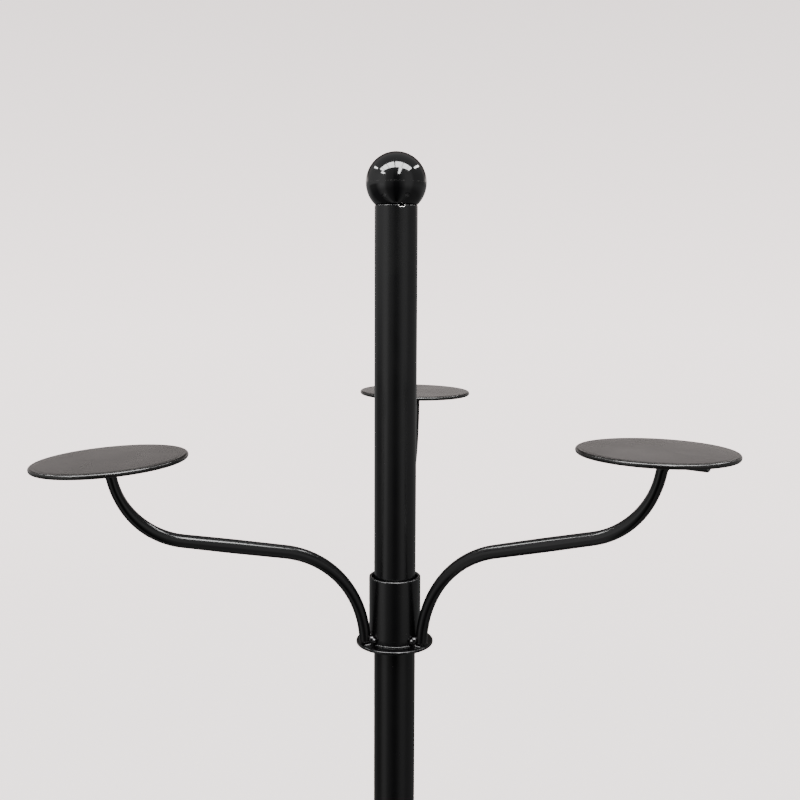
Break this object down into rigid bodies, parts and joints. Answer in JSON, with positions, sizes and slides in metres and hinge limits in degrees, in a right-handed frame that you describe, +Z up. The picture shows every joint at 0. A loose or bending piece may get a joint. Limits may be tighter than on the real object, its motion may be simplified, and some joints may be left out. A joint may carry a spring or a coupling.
{
  "type": "tabletop candelabra",
  "caption": "Black steel stand with a ball-topped pole and a turning tier of S-shaped arms, each holding a flat round plate for a candle.",
  "frame": {"origin": "on the pole's axis, in the plane that the rubber feet stand on", "axes": "+Z up along the pole; -Y towards the front, where the pair of side arms point a little forwards; the third arm points back along +Y"},
  "size_m": [0.5504, 0.5204, 0.7959],
  "materials": {
    "powder_coat": "semi-gloss black powder coat with a fine orange-peel",
    "ball_plastic": "high-gloss black moulded plastic",
    "rubber": "matte moulded rubber",
    "zinc_steel": "bright zinc-plated steel",
    "plain_steel": "plain turned steel",
    "nylon": "natural nylon",
    "brass": "turned brass"
  },
  "bodies": {
    "stand": {"rubber_feet": "rubber", "base_plate": "powder_coat", "base_socket": "powder_coat", "base_weld": "powder_coat", "pole_end_plug": "plain_steel", "base_washer": "zinc_steel", "base_bolt": "zinc_steel", "lower_pole": "powder_coat", "pole_joiner": "plain_steel", "upper_pole": "powder_coat", "stop_ring": "powder_coat", "slide_washer": "nylon", "finial_plug": "plain_steel", "finial_stud": "zinc_steel", "finial_insert": "brass", "finial_ball": "ball_plastic"},
    "tier": {"hub_flange": "powder_coat", "hub_sleeve": "powder_coat", "hub_weld": "powder_coat", "arm_left": "powder_coat", "arm_weld_left": "powder_coat", "plate_left": "powder_coat", "plate_weld_left": "powder_coat", "arm_right": "powder_coat", "arm_weld_right": "powder_coat", "plate_right": "powder_coat", "plate_weld_right": "powder_coat", "arm_back": "powder_coat", "arm_weld_back": "powder_coat", "plate_back": "powder_coat", "plate_weld_back": "powder_coat"}
  },
  "joints": [
    {"name": "tier_turn", "type": "hinge", "parent": "stand", "child": "tier", "pos_m": [0, 0, 0.352], "axis": [0, 0, 1], "continuous": true}
  ]
}
